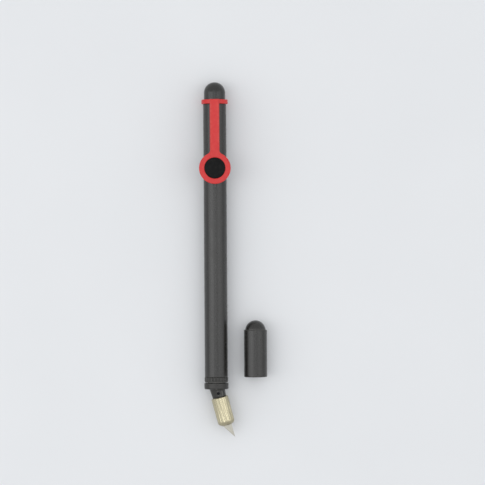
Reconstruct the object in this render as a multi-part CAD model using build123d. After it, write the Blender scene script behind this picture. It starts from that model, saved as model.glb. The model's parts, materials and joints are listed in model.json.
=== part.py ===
from build123d import *

import os
from math import cos, radians, sin, tan

# Swivel pen knife for model making.
# Millimetres, +Z up. +Y points out of the tail, so the knife runs along -Y to the blade. The chuck leans
# towards +X, the pocket clip is on top, and the blade cap lies beside the barrel at +X.
# The origin is on the barrel's axis, at the middle of the tail plug's straight collar.

# ---- driving sizes ----
# fits
run_gap = 0.05  # radial clearance of anything that turns or slides
face_gap = 0.05  # axial clearance between faces that pass each other

# barrel
barrel_r = 5.0
barrel_wall = 1.2
barrel_length = 118.8
barrel_edge = 0.25
spigot_step = 0.7  # how much the tail end is turned down to take the clip's collar

# tail plug
plug_lip = 0.3  # plug's shoulder beyond the spigot, over the collar's face
plug_straight = 3.0
plug_stem_length = 10.5
plug_wall = 1.1
plug_lead_in = 0.4

# pocket clip
collar_lip = 0.75  # collar beyond the barrel
collar_width = 1.9
clip_width = 4.1
clip_gap = 1.0  # room for a pocket's edge over the barrel
clip_thickness = 1.2
clip_reach = 28.0  # barrel's tail end to the centre of the clip's ring
clip_hole_r = 4.52
clip_rim = 2.33  # width of the ring's rim
clip_ring_thickness = 1.6
clip_blend_r = 1.6  # inside radius where the strip runs into the ring
clip_edge = 0.3
badge_rise = 0.75
badge_under_gap = 0.3  # badge's flat underside to the top of the barrel
badge_fit = 0.02

# lock ring and its brake washer, on the nose of the front bush
ring_lip = 0.1  # lock ring beyond the barrel
lock_ring_length = 1.7
lock_groove_r = 0.2
lock_groove_count = 22
washer_thickness = 0.4
lock_travel = 0.31  # what the washer moves to grip the disc
key_width = 1.0
key_depth = 0.25
nose_set_back = 0.1  # bush's nose behind the washer's front face

# bearing of the swivelling head
bush_seat = 0.6  # how much the barrel's nose is bored out for the bushes
bush_wall = 0.55
rear_bush_length = 7.8
shaft_r = 1.5
shaft_end_edge = 0.3
shaft_grip = 2.2  # depth of the shaft in the head's hub
shaft_tail = 1.4  # shaft beyond the retaining clip
groove_depth = 0.4
retainer_lip = 1.1
retainer_thickness = 0.5
shaft_washer_lip = 1.5

# swivelling head
disc_lip = 0.25  # disc beyond the barrel
disc_thickness = 2.6
disc_edge = 0.5
hub_web = 0.9  # metal between the blade's slot and the shaft
lean_deg = 15.0  # chuck axis against the barrel's axis
neck_length = 5.0  # bend to the rear face of the nut, along the chuck axis
neck_flare = 0.45  # neck's root beyond the stem
neck_lip = 0.1  # shoulder in front of the threaded stem
stem_wall = 0.45
stem_length = 4.6
screw_r = 0.65
screw_fit = 0.03
screw_recess = 0.3  # screw's head below the threaded stem's surface
screw_slot_width = 0.3
screw_slot_depth = 0.25
screw_to_nut = 1.8  # screw's axis to the rear face of the nut
screw_floor = 0.6  # metal between the screw's tip and the blade's slot

# blade
blade_width = 4.0
blade_thickness = 0.4
blade_out = 6.0  # tip beyond the front of the nut
blade_root_reach = 5.2  # how far the blade runs back past the bend
edge_deg = 33.0  # cutting edge against the blade's back
bevel_width = 0.8
slot_gap = 0.05

# collet, clamp ring and nut
collet_web = 0.35  # wall beside the blade's slot, where the collet is whole
collet_root = 1.2  # from the bend, along the chuck axis
collet_nose_drop = 0.25  # how much the jaws' taper narrows
collet_nose_length = 4.1
collet_set_back = 0.4  # jaws behind the nut's front face
jaw_split = 7.0  # from the bend to where the jaws are split right across
clamp_set_back = 0.3  # clamp ring in front of the start of the jaws' taper
nut_length = 12.5
nut_wall = 0.65
nut_front_wall = 0.65
nut_mouth_gap = 0.3  # nut's mouth around the edges of the blade
nut_relief = 0.15
nut_nose_fillet = 1.7
nut_rear_chamfer = 0.35
knurl_groove_r = 0.16
knurl_groove_count = 16
knurl_margin = 0.6

# blade cap
cap_fit = 0.1  # radial, around the nut
cap_wall = 1.25
cap_spare_depth = 2.0  # sleeve beyond the nut and the blade that it covers
cap_ledge = 0.6  # sleeve's end face left bare around the plug's dome
cap_dome_height = 4.1
cap_skirt_length = 3.0
cap_skirt_wall = 0.85
cap_seat_step = 0.35  # wider end of the bore that holds the plug
cap_gap_to_barrel = 7.1  # where the cap lies beside the barrel
cap_mouth_edge = 0.3

# ---- radii that follow ----
bore_r = barrel_r - barrel_wall
spigot_r = barrel_r - spigot_step
plug_r = spigot_r + plug_lip
collar_r = barrel_r + collar_lip
clip_top = barrel_r + clip_gap + clip_thickness
clip_ring_r = clip_hole_r + clip_rim
lock_ring_r = barrel_r + ring_lip
bush_r = bore_r + bush_seat
hub_r = bush_r - bush_wall - run_gap
disc_r = barrel_r + disc_lip
collet_r = blade_width / 2 + slot_gap + collet_web
stem_r = collet_r + stem_wall
neck_root_r = stem_r + neck_flare
nut_relief_r = stem_r + nut_relief
nut_r = nut_relief_r + nut_wall
cap_bore_r = nut_r + cap_fit
cap_r = cap_bore_r + cap_wall
cap_seat_r = cap_bore_r + cap_seat_step
cap_plug_r = cap_r - cap_ledge
slot_half = blade_thickness / 2 + slot_gap
screw_base = slot_half + screw_floor
screw_length = stem_r - screw_recess - screw_base
lean = radians(lean_deg)

# ---- places along the chuck: c runs from the bend towards the blade ----
c_nut = neck_length
c_screw = c_nut - screw_to_nut
c_stem = neck_length + stem_length
c_nut_front = c_nut + nut_length
c_ring_front = c_nut_front - nut_front_wall - face_gap
c_collet_front = c_nut_front - collet_set_back
c_collet_nose = c_collet_front - collet_nose_length
c_clamp = c_collet_nose + clamp_set_back
c_tip = c_nut_front + blade_out
c_slot = -blade_root_reach - slot_gap

# ---- places along the barrel: s runs from the origin towards the blade ----
s_spigot = plug_straight / 2
s_tail = s_spigot + collar_width
s_nose = s_tail + barrel_length
s_ring = s_nose + face_gap
s_washer = s_ring + lock_ring_length + face_gap
s_disc = s_washer + washer_thickness + lock_travel + face_gap
s_bush_nose = s_washer + washer_thickness - nose_set_back
s_bend = s_disc + disc_thickness / 2
s_slot = s_bend + c_slot * cos(lean) - (blade_width / 2 + slot_gap) * sin(lean)
s_shaft_front = s_slot - hub_web
s_hub = s_shaft_front - shaft_grip
s_bush_joint = s_hub - face_gap - washer_thickness
s_bush_rear = s_bush_joint - rear_bush_length
s_shaft_washer = s_bush_rear - face_gap - washer_thickness
s_retainer = s_shaft_washer - face_gap - retainer_thickness
s_shaft_rear = s_retainer - shaft_tail
cap_sleeve_length = nut_length + blade_out + cap_spare_depth

# ---- frames: in each, local Z runs along the piece and local Y is up ----
along_barrel = Plane(origin=(0, 0, 0), x_dir=(1, 0, 0), z_dir=(0, -1, 0))
along_chuck = Plane(
    origin=(0, -s_bend, 0), x_dir=(cos(lean), sin(lean), 0), z_dir=(sin(lean), -cos(lean), 0)
)
# the cap lies on the same surface as the disc and the clip's collar
cap_x = barrel_r + cap_gap_to_barrel + cap_r
along_cap = Plane(
    origin=(cap_x, -s_nose, cap_r - disc_r), x_dir=(-1, 0, 0), z_dir=(0, 1, 0)
)

FROM_BASE = (Align.CENTER, Align.CENTER, Align.MIN)


def rod(radius, start, end):
    return Pos(0, 0, start) * Cylinder(radius, end - start, align=FROM_BASE)


def hollow(radius, inner, start, end):
    return rod(radius, start, end) - rod(inner, start - 1, end + 1)


def taper(r_start, r_end, start, end):
    return Pos(0, 0, start) * Cone(r_start, r_end, end - start, align=FROM_BASE)


def bar(width, low, high, start, end):
    """A block centred on local X, from low to high in local Y and start to end along the piece."""
    shape = Box(width, high - low, end - start, align=(Align.CENTER, Align.MIN, Align.MIN))
    return Pos(0, low, start) * shape


def dome(radius, height, base, way):
    """A round end of the given height on a circle of the given radius, pointing along way (+1 or -1)."""
    ball_r = (radius**2 + height**2) / (2 * height)
    centre = base + way * (height - ball_r)
    ball = Pos(0, 0, centre) * Sphere(ball_r)
    start, end = sorted((base, base + way * (height + 1)))
    return ball & rod(ball_r + 1, start, end)


def ribbed(shape, radius, groove_r, count, start, end):
    """Cut straight grooves into a turned surface, for grip."""
    cutter = Pos(radius + groove_r * 0.35, 0, start) * Cylinder(
        groove_r, end - start, align=FROM_BASE
    )
    return shape - [Rot(0, 0, i * 360 / count) * cutter for i in range(count)]


def soften(shape, amount, radius, at):
    """Round the circular edges of one radius at one place along the piece."""
    edges = [
        e
        for e in shape.edges().filter_by(GeomType.CIRCLE)
        if abs(e.radius - radius) < 1e-3 and abs(e.arc_center.Z - at) < 1e-3
    ]
    return fillet(edges, amount)


def bevelled(shape, amount, radius, at):
    """Chamfer the circular edges of one radius at one place along the piece."""
    edges = [
        e
        for e in shape.edges().filter_by(GeomType.CIRCLE)
        if abs(e.radius - radius) < 1e-3 and abs(e.arc_center.Z - at) < 1e-3
    ]
    return chamfer(edges, amount)


# ---- barrel and tail ----
def make_barrel():
    shape = rod(barrel_r, s_tail, s_nose) + rod(spigot_r, s_spigot, s_tail)
    shape -= rod(bore_r, s_spigot - 1, s_nose + 1)
    shape -= rod(bush_r, s_bush_rear, s_nose + 1)
    shape = soften(shape, barrel_edge, barrel_r, s_nose)
    return soften(shape, barrel_edge, barrel_r, s_tail)


def make_end_plug():
    stem_r_here = bore_r - run_gap
    s_stem_end = s_spigot + plug_stem_length
    shape = rod(plug_r, -s_spigot, s_spigot) + dome(plug_r, plug_r, -s_spigot, -1)
    shape += rod(stem_r_here, s_spigot, s_stem_end)
    shape -= rod(stem_r_here - plug_wall, -s_spigot, s_stem_end + 1)
    return bevelled(shape, plug_lead_in, stem_r_here, s_stem_end)


# ---- pocket clip ----
def make_clip_collar():
    ring = hollow(collar_r, spigot_r, s_spigot, s_tail)
    boss = bar(clip_width, barrel_r, clip_top, s_spigot, s_tail)
    shape = ring + boss
    edges = shape.edges().filter_by(Axis.Z).group_by(Axis.Y)[-1]
    return fillet(edges, clip_edge)


def make_clip_arm():
    s_centre = s_tail + clip_reach
    strip = bar(clip_width, clip_top - clip_thickness, clip_top, s_tail, s_centre)
    flat = Pos(0, clip_top, s_centre) * Rot(90, 0, 0)
    low_align = (Align.CENTER, Align.CENTER, Align.MIN)
    ring = flat * Cylinder(clip_ring_r, clip_ring_thickness, align=low_align)
    shape = strip + ring
    corners = [
        e
        for e in shape.edges().filter_by(Axis.Y)
        if abs(abs(e.center().X) - clip_width / 2) < 1e-3 and e.center().Z > s_tail + 1
    ]
    shape = fillet(corners, clip_blend_r)
    shape -= flat * Cylinder(clip_hole_r, 4 * clip_ring_thickness)
    top = [
        e
        for e in shape.edges()
        if abs(e.center().Y - clip_top) < 1e-3 and e.center().Z > s_tail + 1e-3
    ]
    return fillet(top, clip_edge)


def make_clip_badge():
    s_centre = s_tail + clip_reach
    badge_r = clip_hole_r - badge_fit
    low = barrel_r + badge_under_gap
    disc = rod(badge_r, low, clip_top) + dome(badge_r, badge_rise, clip_top, 1)
    return Pos(0, 0, s_centre) * Rot(-90, 0, 0) * disc


# ---- lock ring and brake washer ----
def make_lock_ring():
    end = s_ring + lock_ring_length
    shape = hollow(lock_ring_r, bush_r + run_gap, s_ring, end)
    return ribbed(shape, lock_ring_r, lock_groove_r, lock_groove_count, s_ring - 1, end + 1)


def make_brake_washer():
    end = s_washer + washer_thickness
    tongue = bar(key_width, bush_r - key_depth + run_gap, barrel_r - key_depth, s_washer, end)
    return hollow(barrel_r, bush_r + run_gap, s_washer, end) + tongue


# ---- bearing ----
def make_front_bush():
    shape = hollow(bush_r, bush_r - bush_wall, s_bush_joint, s_bush_nose)
    groove = bar(key_width + 2 * run_gap, bush_r - key_depth, bush_r + 1, s_nose, s_bush_nose + 1)
    return shape - groove


def make_rear_bush():
    return hollow(bush_r, shaft_r + run_gap, s_bush_rear, s_bush_joint)


def make_thrust_washer():
    return hollow(hub_r - run_gap, shaft_r + run_gap, s_bush_joint, s_bush_joint + washer_thickness)


def make_shaft_washer():
    end = s_shaft_washer + washer_thickness
    return hollow(shaft_r + shaft_washer_lip, shaft_r + run_gap, s_shaft_washer, end)


def make_retaining_clip():
    groove_floor = shaft_r - groove_depth
    end = s_retainer + retainer_thickness
    shape = hollow(shaft_r + retainer_lip, groove_floor, s_retainer, end)
    mouth = bar(1.8 * groove_floor, 0, shaft_r + 2 * retainer_lip, s_retainer - 1, end + 1)
    return shape - mouth


def make_swivel_shaft():
    shape = rod(shaft_r, s_shaft_rear, s_shaft_front)
    start = s_retainer - face_gap
    end = s_retainer + retainer_thickness + face_gap
    shape -= hollow(shaft_r + 1, shaft_r - groove_depth, start, end)
    return bevelled(shape, shaft_end_edge, shaft_r, s_shaft_rear)


# ---- swivelling head ----
def blade_slot(start, end):
    """The flat slot that the blade slides in, in the chuck's frame."""
    return bar(blade_width + 2 * slot_gap, -slot_half, slot_half, start, end)


def screw_hole():
    """The neck screw's hole, in the chuck's frame."""
    hole = Cylinder(screw_r + screw_fit, neck_root_r, align=FROM_BASE)
    return Pos(0, screw_base, c_screw) * Rot(-90, 0, 0) * hole


def make_swivel_head():
    disc = rod(disc_r, s_disc, s_disc + disc_thickness)
    disc = soften(disc, disc_edge, disc_r, s_disc + disc_thickness)
    hub = rod(hub_r, s_hub, s_disc) - rod(shaft_r, s_hub - 1, s_shaft_front)
    neck = taper(neck_root_r, stem_r + neck_lip, 0, c_nut - face_gap) + rod(stem_r, c_nut - 1, c_stem)
    neck -= rod(collet_r, collet_root, c_stem + 1)
    shape = along_barrel * (disc + hub)
    shape -= along_chuck * rod(collet_r, collet_root, c_stem)
    shape += along_chuck * neck
    shape -= along_chuck * blade_slot(c_slot, c_stem)
    shape -= along_chuck * screw_hole()
    return shape


def make_neck_screw():
    body = Cylinder(screw_r, screw_length, align=FROM_BASE)
    driver_slot = Pos(0, 0, screw_length) * Box(3 * screw_r, screw_slot_width, 2 * screw_slot_depth)
    return Pos(0, screw_base, c_screw) * Rot(-90, 0, 0) * (body - driver_slot)


def make_collet():
    shape = rod(collet_r, collet_root, c_collet_nose)
    shape += taper(collet_r, collet_r - collet_nose_drop, c_collet_nose, c_collet_front)
    shape -= blade_slot(collet_root - 1, c_collet_front + 1)
    shape -= bar(3 * collet_r, -slot_half, slot_half, jaw_split, c_collet_front + 1)
    return shape - screw_hole()


def make_clamp_ring():
    shape = rod(nut_relief_r - run_gap, c_clamp, c_ring_front)
    cone = taper(
        collet_r + run_gap, collet_r - collet_nose_drop + run_gap, c_collet_nose, c_collet_front
    )
    return shape - cone


def make_chuck_nut():
    shape = rod(nut_r, c_nut, c_nut_front)
    shape = soften(shape, nut_nose_fillet, nut_r, c_nut_front)
    shape = bevelled(shape, nut_rear_chamfer, nut_r, c_nut)
    shape = ribbed(
        shape,
        nut_r,
        knurl_groove_r,
        knurl_groove_count,
        c_nut + knurl_margin,
        c_nut_front - nut_nose_fillet,
    )
    shape -= rod(stem_r + run_gap, c_nut - 1, c_stem + face_gap)
    shape -= rod(nut_relief_r, c_stem + face_gap, c_nut_front - nut_front_wall)
    return shape - rod(blade_width / 2 + nut_mouth_gap, c_nut, c_nut_front + 1)


def make_blade():
    half = blade_width / 2
    slant = blade_width / tan(radians(edge_deg))
    outline = make_face(
        Polyline(
            (-half, -blade_root_reach),
            (half, -blade_root_reach),
            (half, c_tip),
            (-half, c_tip - slant),
            close=True,
        )
    )
    flat = Plane(origin=(0, -blade_thickness / 2, 0), x_dir=(1, 0, 0), z_dir=(0, -1, 0))
    shape = flat * Pos(0, 0, -blade_thickness) * extrude(outline, blade_thickness)
    # two ground bevels meet along the cutting edge
    grind = make_face(
        Polyline((0.5, 0.02), (-bevel_width, blade_thickness / 2), (0.5, blade_thickness), close=True)
    )
    wedge = extrude(grind, 2 * slant, both=True)
    across = Vector(-cos(radians(edge_deg)), 0, sin(radians(edge_deg)))
    for up in (1, -1):
        edge_frame = Plane(
            origin=(half, 0, c_tip),
            x_dir=across,
            z_dir=across.cross(Vector(0, up, 0)),
        )
        shape -= edge_frame * wedge
    return shape


# ---- blade cap ----
def make_cap_sleeve():
    shape = hollow(cap_r, cap_bore_r, 0, cap_sleeve_length)
    shape -= rod(cap_seat_r, cap_sleeve_length - cap_skirt_length, cap_sleeve_length + 1)
    shape = soften(shape, cap_mouth_edge, cap_bore_r, 0)
    return soften(shape, cap_mouth_edge, cap_r, cap_sleeve_length)


def make_cap_plug():
    skirt_start = cap_sleeve_length - cap_skirt_length
    inner = cap_seat_r - cap_skirt_wall
    shape = dome(cap_plug_r, cap_dome_height, cap_sleeve_length, 1)
    shape += rod(cap_seat_r, skirt_start, cap_sleeve_length)
    return shape - rod(inner, skirt_start - 1, cap_sleeve_length + cap_dome_height / 3)


PIECES = {
    "barrel": (along_barrel, make_barrel),
    "end_plug": (along_barrel, make_end_plug),
    "clip_collar": (along_barrel, make_clip_collar),
    "clip_arm": (along_barrel, make_clip_arm),
    "clip_badge": (along_barrel, make_clip_badge),
    "lock_ring": (along_barrel, make_lock_ring),
    "brake_washer": (along_barrel, make_brake_washer),
    "front_bush": (along_barrel, make_front_bush),
    "rear_bush": (along_barrel, make_rear_bush),
    "thrust_washer": (along_barrel, make_thrust_washer),
    "shaft_washer": (along_barrel, make_shaft_washer),
    "retaining_clip": (along_barrel, make_retaining_clip),
    "swivel_shaft": (along_barrel, make_swivel_shaft),
    "swivel_head": (None, make_swivel_head),
    "neck_screw": (along_chuck, make_neck_screw),
    "collet": (along_chuck, make_collet),
    "clamp_ring": (along_chuck, make_clamp_ring),
    "chuck_nut": (along_chuck, make_chuck_nut),
    "blade": (along_chuck, make_blade),
    "cap_sleeve": (along_cap, make_cap_sleeve),
    "cap_plug": (along_cap, make_cap_plug),
}

os.makedirs("parts", exist_ok=True)
for node, (place, make) in PIECES.items():
    piece = place * make() if place else make()
    piece.label = node
    export_step(piece, f"parts/{node}.step")

print(f"s_tail {s_tail:.3f}  s_nose {s_nose:.3f}  s_hub {s_hub:.3f}  s_bend {s_bend:.3f}")
print(f"blade length {c_tip + blade_root_reach:.3f}  nut radius {nut_r:.3f}  cap_x {cap_x:.3f}")
print(f"s_shaft_rear {s_shaft_rear:.3f}  s_bush_rear {s_bush_rear:.3f}  hub radius {hub_r:.3f}")
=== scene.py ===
import json
from math import asin, atan2, cos, pi, radians, sin, sqrt, tan, tau

import bmesh
import bpy
from bpy.props import FloatProperty, FloatVectorProperty, IntProperty, PointerProperty
from mathutils import Matrix, Vector


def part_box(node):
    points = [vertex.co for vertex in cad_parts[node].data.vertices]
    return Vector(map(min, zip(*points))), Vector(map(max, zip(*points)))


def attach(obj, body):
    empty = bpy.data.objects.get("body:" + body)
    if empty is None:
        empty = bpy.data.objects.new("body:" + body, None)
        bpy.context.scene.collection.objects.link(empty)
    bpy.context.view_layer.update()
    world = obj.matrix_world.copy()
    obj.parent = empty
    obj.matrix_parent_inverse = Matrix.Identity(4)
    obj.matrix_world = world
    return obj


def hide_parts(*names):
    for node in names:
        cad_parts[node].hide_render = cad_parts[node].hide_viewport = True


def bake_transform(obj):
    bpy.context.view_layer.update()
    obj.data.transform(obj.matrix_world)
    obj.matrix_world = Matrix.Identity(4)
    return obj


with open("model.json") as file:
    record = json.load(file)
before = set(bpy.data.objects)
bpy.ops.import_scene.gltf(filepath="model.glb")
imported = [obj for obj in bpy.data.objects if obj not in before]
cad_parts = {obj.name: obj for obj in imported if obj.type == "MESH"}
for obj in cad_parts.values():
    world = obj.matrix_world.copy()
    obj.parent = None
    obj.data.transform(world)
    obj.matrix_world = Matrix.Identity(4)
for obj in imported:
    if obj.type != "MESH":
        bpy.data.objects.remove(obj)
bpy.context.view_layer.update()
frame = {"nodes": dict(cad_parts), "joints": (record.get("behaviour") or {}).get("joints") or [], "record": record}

bl_info = {
    "name": "Hobby craft knife",
    "version": (1, 0, 0),
    "blender": (4, 5, 0),
    "location": "3D View > Sidebar > Craft knife",
    "description": "Builds the visible pieces of a swivelling pen knife round its CAD frame",
    "category": "Add Mesh",
}

MM = 0.001
UP = Vector((0, 0, 1))
SHARP_ANGLE = radians(32)
ARC_STEPS = 5  # straight steps in each rounded corner
DOME_STEPS = 22
SIDES = 128  # straight sides round a turned piece
LONGEST_STEP = 4 * MM
CORNER_SUPPORT = 0.25 * MM  # ring beside each end of a long run, so that edge wear stays at the edge

JOINTS = {joint["name"]: joint for joint in frame["joints"]}
MOUNTS = {mount["name"]: mount for mount in frame["record"]["mounts"]}


# ---- frames of the pieces: local Z runs along the piece and local Y is up ----
def facing(origin, along):
    """Frame at an origin, with its Z along a direction."""
    z = Vector(along).normalized()
    place = Matrix((UP.cross(z), UP, z)).transposed().to_4x4()
    place.translation = origin
    return place


nut_axis = Vector(JOINTS["nut_turn"]["axis"])
nut_rear = Vector(JOINTS["nut_turn"]["pos_m"])
bend = nut_rear - nut_axis * (nut_rear.x / nut_axis.x)
cap_mouth = Vector(MOUNTS["cap_mouth"]["pos_m"])
cap_mouth.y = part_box("cap_sleeve")[0].y

BARREL = facing((0, 0, 0), (0, -1, 0))
CHUCK = facing(bend, nut_axis)
CAP = facing(cap_mouth, (0, 1, 0))
LEAN = atan2(nut_axis.x, -nut_axis.y)


def measure(node, place):
    """Lowest and highest corner of a CAD node in a piece's own frame."""
    inverse = place.inverted()
    points = [inverse @ vertex.co for vertex in frame["nodes"][node].data.vertices]
    axes = list(zip(*points))
    return Vector(map(min, axes)), Vector(map(max, axes))


def upright(low, high):
    """Turns local Z up, at the middle of a box along the piece."""
    return Matrix.Translation((0, 0, (low.z + high.z) / 2)) @ Matrix.Rotation(-pi / 2, 4, "X")


# ---- colours ----
def linear(code):
    """An sRGB hex colour as linear RGBA."""
    values = [int(code[k:k + 2], 16) / 255 for k in (1, 3, 5)]
    return *(v / 12.92 if v <= 0.04045 else ((v + 0.055) / 1.055) ** 2.4 for v in values), 1.0


def size_prop(name, description, millimetres):
    return FloatProperty(name=name, description=description, default=millimetres * MM,
                         unit="LENGTH", precision=5)


def colour_prop(name, description, code):
    return FloatVectorProperty(name=name, description=description, default=linear(code),
                               size=4, min=0, max=1, subtype="COLOR")


class KnifeSizes(bpy.types.PropertyGroup):
    """Sizes that the CAD frame doesn't give."""
    bore_radius: size_prop("Barrel bore", "Radius of the hollow in the barrel", 3.8)
    spigot_radius: size_prop("Barrel spigot", "Turned-down tail that carries the clip's collar", 4.3)
    moulded_edge: size_prop("Moulded edge", "Rounding of the moulded plastic edges", 0.25)
    turned_edge: size_prop("Turned edge", "Broken edge of the turned pieces and the lock ring", 0.12)
    run_gap: size_prop("Running gap", "Radial clearance of what turns or slides", 0.05)
    plug_lead: size_prop("Plug lead-in", "Chamfer at the end of the tail plug's stem", 0.4)
    plug_wall: size_prop("Plug wall", "Wall of the tail plug's stem", 1.1)
    clip_width: size_prop("Clip width", "Width of the clip's strip", 4.1)
    clip_thickness: size_prop("Clip thickness", "Thickness of the clip's strip", 1.2)
    clip_fillet: size_prop("Clip fillet", "Rounding where the strip runs into the ring", 1.6)
    clip_edge: size_prop("Clip edge", "Rounding of the clip's upper edges", 0.3)
    clip_root: size_prop("Clip root fillet", "Rounding under the strip at the collar", 0.7)
    rib_count: IntProperty(name="Ribs", description="Grooves round the lock ring", default=22)
    rib_depth: size_prop("Rib depth", "Depth of the lock ring's grooves", 0.32)
    knurl_count: IntProperty(name="Knurl", description="Grooves round the chuck nut", default=16)
    knurl_depth: size_prop("Knurl depth", "Depth of the chuck nut's grooves", 0.2)
    disc_thickness: size_prop("Disc thickness", "Thickness of the swivelling disc", 2.6)
    disc_edge: size_prop("Disc edge", "Rounding of the disc's front edge", 0.5)
    bush_wall: size_prop("Bush wall", "Wall of the front bush round the head's hub", 0.55)
    stem_wall: size_prop("Stem wall", "Wall of the threaded stem round the collet", 0.45)
    neck_lip: size_prop("Neck shoulder", "Shoulder in front of the threaded stem", 0.1)
    neck_flare: size_prop("Neck flare", "Neck's root beyond the stem", 0.45)
    neck_fillet: size_prop("Neck fillet", "Rounding where the neck leaves the disc", 0.55)
    screw_fit: size_prop("Screw fit", "Radial clearance of the neck screw", 0.03)
    screw_slot_width: size_prop("Screw slot", "Width of the slot in the neck screw", 0.26)
    screw_slot_depth: size_prop("Screw slot depth", "Depth of the slot in the neck screw", 0.4)
    nut_nose: size_prop("Nut nose", "Rounding of the nut's nose", 1.7)
    nut_front_wall: size_prop("Nut front wall", "Wall at the nose of the nut", 0.65)
    nut_chamfer: size_prop("Nut chamfer", "Chamfer round the nut's rear face", 0.35)
    nut_mouth_gap: size_prop("Nut mouth", "Nut's mouth round the edges of the blade", 0.3)
    blade_bevel: size_prop("Blade bevel", "Width of the ground bevel", 0.8)
    blade_keen: size_prop("Cutting edge", "Half thickness left at the cutting edge", 0.012)
    blade_edge: size_prop("Stamped edge", "Broken edge of the blade's strip", 0.03)
    cap_wall_seat: size_prop("Cap seat", "Wall of the cap around its plug", 0.9)
    cap_skirt_wall: size_prop("Cap skirt", "Wall of the cap's plug inside the seat", 0.85)


class KnifeColours(bpy.types.PropertyGroup):
    """Colours of the materials."""
    black: colour_prop("Black plastic", "Barrel, tail plug and cap", "#1e1d1b")
    black_worn: colour_prop("Black plastic, worn", "Polished edges and hairlines", "#55534e")
    ring_black: colour_prop("Satin black", "Lock ring", "#262522")
    red: colour_prop("Red plastic", "Pocket clip", "#c41a1b")
    red_worn: colour_prop("Red plastic, worn", "Rubbed edges of the clip", "#dd5a50")
    head: colour_prop("Black anodising", "Swivelling head", "#232220")
    head_worn: colour_prop("Anodising, worn", "Bare metal showing at the edges", "#8d8b86")
    nickel: colour_prop("Champagne nickel", "Chuck nut", "#c4bc9f")
    # the darker nickel gives the nut's uneven tone and marks, and paints shade into the knurl's grooves
    nickel_dark: colour_prop("Nickel, soiled", "Grooves of the knurl", "#655c49")
    brass: colour_prop("Brass", "Rear bush, collet and clamp ring", "#c8a25a")
    steel: colour_prop("Ground steel", "Shaft and washer", "#b4b3b0")
    spring: colour_prop("Spring steel", "Retaining clip", "#6c6b6d")
    blade: colour_prop("Blade steel", "Flat sides of the blade", "#b9b6ab")
    blade_edge: colour_prop("Ground bevel", "Fresh bevels of the blade", "#c6c3b9")
    nylon: colour_prop("Natural nylon", "Thrust washer", "#dcd8cb")
    screw: colour_prop("Black oxide", "Neck screw", "#26262a")
    # the disc's near-black is painted shade: the dark seen in the clip's ring
    rubber: colour_prop("Black rubber", "Disc in the clip's ring", "#070707")
    floor: colour_prop("Floor", "Plain pale floor", "#dedfe0")


# ---- material helpers ----
def add(tree, kind, settings=None, inputs=None):
    """Adds a shader node. settings are its own properties; inputs are socket values, or sockets to link."""
    made = tree.nodes.new("ShaderNode" + kind)
    for name, value in (settings or {}).items():
        setattr(made, name, value)
    for name, value in (inputs or {}).items():
        if isinstance(value, bpy.types.NodeSocket):
            tree.links.new(value, made.inputs[name])
        else:
            made.inputs[name].default_value = value
    return made.outputs


def own_place(tree, place):
    """Coordinates along the piece. A CAD node keeps the row's frame, so its place is turned to match."""
    here = add(tree, "TexCoord")["Object"]
    if place is None:
        return here
    turn = place.to_3x3().inverted().to_euler("XYZ")
    return add(tree, "Mapping", {"vector_type": "POINT"}, {"Vector": here, "Rotation": turn})["Vector"]


def new_tree(name, place=None):
    material = bpy.data.materials.new(name)
    material.use_nodes = True
    tree = material.node_tree
    tree.nodes.clear()
    return material, tree, own_place(tree, place)


def grain(tree, where, size, detail=3.0, stretch=(1, 1, 1)):
    """Noise whose features are about this size, longer along an axis by its stretch. 0 is endless."""
    scale = [1 / (size * s) if s else 0.0 for s in stretch]
    spread = add(tree, "Mapping", {"vector_type": "POINT"}, {"Vector": where, "Scale": scale})
    return add(tree, "TexNoise", None, {"Vector": spread["Vector"], "Scale": 1.0, "Detail": detail})["Fac"]


def ramp(tree, value, low, high, bottom=0.0, top=1.0):
    """value between low and high becomes bottom to top, and stays there outside."""
    limits = {"Value": value, "From Min": low, "From Max": high, "To Min": bottom, "To Max": top}
    return add(tree, "MapRange", None, limits)["Result"]


def mixed(tree, share, first, second):
    """Colour that goes from first to second as share goes from 0 to 1."""
    return add(tree, "Mix", {"data_type": "RGBA"}, {0: share, 6: first, 7: second})[2]


def combine(tree, operation, first, second):
    return add(tree, "Math", {"operation": operation, "use_clamp": True}, {0: first, 1: second})[0]


def laid_over(tree, tint, mask, share, colour):
    """The tint with a share of another colour where the mask is 1."""
    return mixed(tree, combine(tree, "MULTIPLY", mask, share), tint, colour)


def roughened(tree, rough, mask, amount):
    """The roughness with this much more where the mask is 1."""
    return combine(tree, "ADD", rough, combine(tree, "MULTIPLY", mask, amount))


def scaled(colour, factor):
    return *(min(1.0, factor * c) for c in colour[:3]), 1.0


def edges(tree, low, high, breakup):
    """Mask of the outer edges, broken up so that wear isn't even."""
    mask = ramp(tree, add(tree, "NewGeometry")["Pointiness"], low, high)
    return combine(tree, "MULTIPLY", mask, ramp(tree, breakup, 0.35, 0.6, 0.35, 1.0))


def dents(tree, height, depth, after=None):
    """Relief of this depth from a height between 0 and 1, on top of another relief."""
    inputs = {"Height": height, "Distance": depth, "Strength": 1.0}
    if after:
        inputs["Normal"] = after
    return add(tree, "Bump", None, inputs)["Normal"]


def shade(tree, colour, roughness, normal, **constants):
    inputs = {"Base Color": colour, "Roughness": roughness, "Normal": normal}
    inputs.update({name.replace("_", " "): value for name, value in constants.items()})
    shader = add(tree, "BsdfPrincipled", None, inputs)
    add(tree, "OutputMaterial", None, {"Surface": shader["BSDF"]})


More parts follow.
